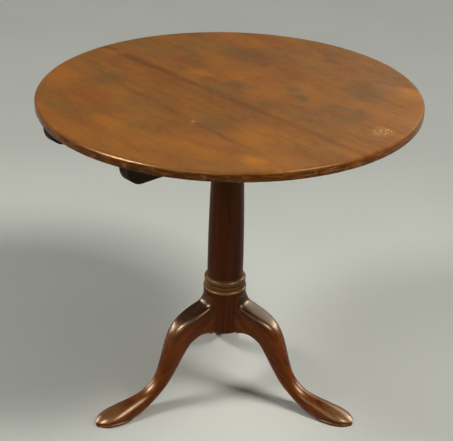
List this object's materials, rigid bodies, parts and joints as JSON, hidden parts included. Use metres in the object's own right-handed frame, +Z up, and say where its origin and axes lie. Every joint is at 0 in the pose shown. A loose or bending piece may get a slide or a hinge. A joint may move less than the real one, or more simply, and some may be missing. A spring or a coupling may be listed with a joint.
{
  "type": "tilt top table",
  "caption": "Round wooden table top that tips upright about pintles on a block, held flat by a sprung brass catch, on a turned pillar with dovetailed cabriole legs.",
  "frame": {"origin": "on the floor under the pillar's axis, which is the bottom centre of the table's box", "axes": "+Z up, +X along the tilt axis, +Y towards the catch; the single leg points nearly along +Y"},
  "size_m": [0.7898, 0.7899, 0.711],
  "materials": {
    "top_wood": "satin polish, worn",
    "batten_wood": "dull, dark",
    "block_wood": "dull",
    "pillar_wood": "satin polish",
    "leg_wood": "satin polish",
    "steel_screws": "darkened",
    "brass": "aged",
    "spring_steel": "plain"
  },
  "bodies": {
    "pedestal": {"pillar": "pillar_wood", "leg_back": "leg_wood", "leg_left": "leg_wood", "leg_right": "leg_wood", "tilt_block": "block_wood", "tenon_wedge": "block_wood", "catch_keeper": "brass", "keeper_screws": "brass"},
    "top": {"top_board_pivot_side": "top_wood", "top_board_catch_side": "top_wood", "batten_left": "batten_wood", "batten_right": "batten_wood", "batten_screws": "steel_screws", "catch_case": "brass", "catch_screws": "brass", "catch_spring": "spring_steel"},
    "catch_bolt": {"catch_bolt": "brass", "catch_knob": "brass"}
  },
  "joints": [
    {"name": "top_tilt", "type": "hinge", "parent": "pedestal", "child": "top", "pos_m": [0, -0.084, 0.674], "axis": [1, 0, 0], "range_deg": [0, 90]},
    {"name": "catch_slide", "type": "slide", "parent": "top", "child": "catch_bolt", "axis": [0, 1, 0], "range_m": [0, 0.0075], "stiffness_N_per_m": 400, "springref_m": -0.006, "deforming": ["catch_spring"]}
  ]
}
